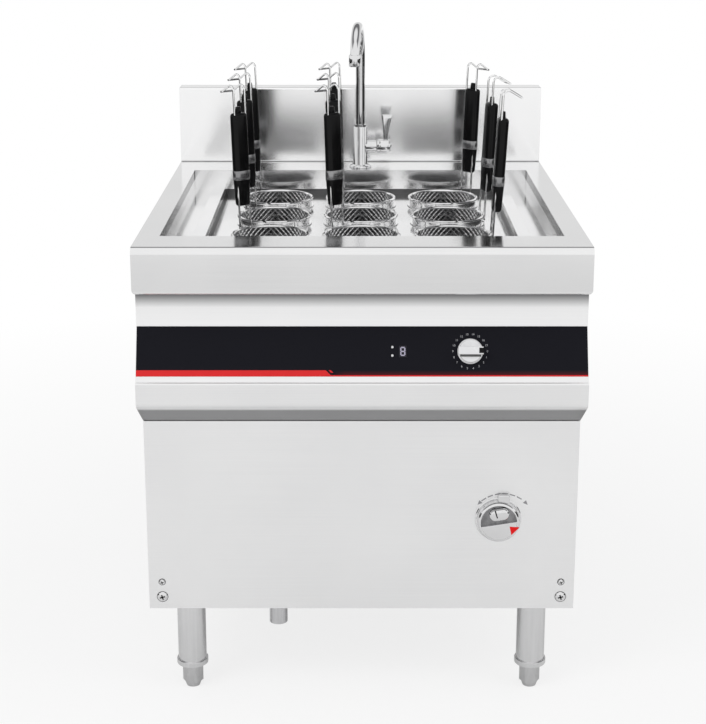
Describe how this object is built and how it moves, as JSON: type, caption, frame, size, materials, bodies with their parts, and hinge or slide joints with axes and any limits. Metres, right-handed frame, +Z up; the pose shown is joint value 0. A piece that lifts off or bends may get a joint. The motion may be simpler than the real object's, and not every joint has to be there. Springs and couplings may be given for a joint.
{
  "type": "pasta cooker",
  "caption": "Floor-standing stainless induction pasta cooker with a well of lift-out wire baskets, a swivel tap, a splash back, a slanted control panel and a front drain handle.",
  "frame": {"origin": "on the floor, under the middle of the worktop", "axes": "+X to the right as a user stands before it, +Y to the back, +Z up"},
  "size_m": [0.8, 0.9, 1.221],
  "materials": {
    "polished_steel": "polished stainless sheet with a fine grain",
    "satin_steel": "satin stainless sheet with a fine grain",
    "leg_steel": "brushed stainless tube",
    "frame_steel": "mill finish stainless angle",
    "pipe_steel": "brushed stainless",
    "wire_steel": "bright drawn stainless wire and woven mesh",
    "bright_chrome": "polished chrome plate",
    "black_overlay": "semi-gloss black printed film",
    "red_stripe": "semi-gloss red print",
    "tinted_lens": "dark red tinted lens",
    "knob_plastic": "silver-white moulding",
    "grip_plastic": "black heat-resistant moulding",
    "dark_plastic": "black moulding",
    "pale_insulator": "pale insulating board",
    "board_green": "printed circuit board",
    "coil_copper": "wound copper cable",
    "module_metal": "cast and extruded aluminium",
    "pipe_metal": "drawn copper pipe",
    "fitting_brass": "machined brass"
  },
  "bodies": {
    "cabinet": {"worktop": "polished_steel", "splash_back": "polished_steel", "gutter_tray": "polished_steel", "tank": "polished_steel", "basket_plate": "polished_steel", "console_shell": "satin_steel", "control_overlay": "black_overlay", "overlay_stripe": "red_stripe", "display_lenses": "tinted_lens", "front_panel": "satin_steel", "side_panel_left": "satin_steel", "side_panel_right": "satin_steel", "rear_panel": "satin_steel", "base_pan": "satin_steel", "chassis_frame": "frame_steel", "leg_tubes": "leg_steel", "panel_screws": "bright_chrome", "tap_body": "bright_chrome", "supply_pipe": "pipe_metal", "water_inlet": "fitting_brass", "control_board": "board_green", "induction_coil": "coil_copper", "coil_carrier": "pale_insulator", "power_module": "module_metal", "fan_housing": "dark_plastic", "terminal_block": "pale_insulator", "cable_gland": "dark_plastic", "drain_valve": "fitting_brass", "drain_pipe": "pipe_steel", "drain_bezel": "bright_chrome", "overflow_pipe": "pipe_steel"},
    "front_left_basket": {"basket_front_left": "wire_steel", "grip_front_left": "grip_plastic"},
    "front_centre_basket": {"basket_front_centre": "wire_steel", "grip_front_centre": "grip_plastic"},
    "front_right_basket": {"basket_front_right": "wire_steel", "grip_front_right": "grip_plastic"},
    "middle_left_basket": {"basket_middle_left": "wire_steel", "grip_middle_left": "grip_plastic"},
    "middle_centre_basket": {"basket_middle_centre": "wire_steel", "grip_middle_centre": "grip_plastic"},
    "middle_right_basket": {"basket_middle_right": "wire_steel", "grip_middle_right": "grip_plastic"},
    "back_left_basket": {"basket_back_left": "wire_steel", "grip_back_left": "grip_plastic"},
    "back_centre_basket": {"basket_back_centre": "wire_steel", "grip_back_centre": "grip_plastic"},
    "back_right_basket": {"basket_back_right": "wire_steel", "grip_back_right": "grip_plastic"},
    "spout": {"tap_spout": "bright_chrome"},
    "tap_handle": {"tap_lever": "bright_chrome"},
    "level_dial": {"level_knob": "knob_plastic", "encoder_shaft": "pipe_steel"},
    "drain_control": {"drain_handle": "bright_chrome", "drain_spindle": "pipe_steel"},
    "cooling_fan": {"fan_rotor": "dark_plastic"},
    "front_left_foot": {"foot_front_left": "leg_steel"},
    "front_right_foot": {"foot_front_right": "leg_steel"},
    "rear_left_foot": {"foot_rear_left": "leg_steel"},
    "rear_right_foot": {"foot_rear_right": "leg_steel"}
  },
  "joints": [
    {"name": "front_left_lift", "type": "slide", "parent": "cabinet", "child": "front_left_basket", "axis": [0, 0, 1], "range_m": [0, 0.22]},
    {"name": "front_centre_lift", "type": "slide", "parent": "cabinet", "child": "front_centre_basket", "axis": [0, 0, 1], "range_m": [0, 0.22]},
    {"name": "front_right_lift", "type": "slide", "parent": "cabinet", "child": "front_right_basket", "axis": [0, 0, 1], "range_m": [0, 0.22]},
    {"name": "middle_left_lift", "type": "slide", "parent": "cabinet", "child": "middle_left_basket", "axis": [0, 0, 1], "range_m": [0, 0.22]},
    {"name": "middle_centre_lift", "type": "slide", "parent": "cabinet", "child": "middle_centre_basket", "axis": [0, 0, 1], "range_m": [0, 0.22]},
    {"name": "middle_right_lift", "type": "slide", "parent": "cabinet", "child": "middle_right_basket", "axis": [0, 0, 1], "range_m": [0, 0.22]},
    {"name": "back_left_lift", "type": "slide", "parent": "cabinet", "child": "back_left_basket", "axis": [0, 0, 1], "range_m": [0, 0.22]},
    {"name": "back_centre_lift", "type": "slide", "parent": "cabinet", "child": "back_centre_basket", "axis": [0, 0, 1], "range_m": [0, 0.22]},
    {"name": "back_right_lift", "type": "slide", "parent": "cabinet", "child": "back_right_basket", "axis": [0, 0, 1], "range_m": [0, 0.22]},
    {"name": "spout_swivel", "type": "hinge", "parent": "cabinet", "child": "spout", "pos_m": [0, 0.33, 0.98], "axis": [0, 0, 1], "range_deg": [-85, 95]},
    {"name": "tap_turn", "type": "hinge", "parent": "cabinet", "child": "tap_handle", "pos_m": [0.03, 0.33, 0.946], "axis": [1, 0, 0], "range_deg": [0, 90]},
    {"name": "level_turn", "type": "hinge", "parent": "cabinet", "child": "level_dial", "pos_m": [0.191, -0.4225, 0.706], "axis": [0, 0.9231, -0.3846], "range_deg": [0, 340]},
    {"name": "drain_turn", "type": "hinge", "parent": "cabinet", "child": "drain_control", "pos_m": [0.254, -0.36, 0.361], "axis": [0, -1, 0], "range_deg": [0, 90]},
    {"name": "fan_spin", "type": "hinge", "parent": "cabinet", "child": "cooling_fan", "pos_m": [0, -0.098, 0.2], "axis": [0, 0, 1], "continuous": true},
    {"name": "front_left_level", "type": "slide", "parent": "cabinet", "child": "front_left_foot", "axis": [0, 0, -1], "range_m": [0, 0.025]},
    {"name": "front_right_level", "type": "slide", "parent": "cabinet", "child": "front_right_foot", "axis": [0, 0, -1], "range_m": [0, 0.025]},
    {"name": "rear_left_level", "type": "slide", "parent": "cabinet", "child": "rear_left_foot", "axis": [0, 0, -1], "range_m": [0, 0.025]},
    {"name": "rear_right_level", "type": "slide", "parent": "cabinet", "child": "rear_right_foot", "axis": [0, 0, -1], "range_m": [0, 0.025]}
  ]
}
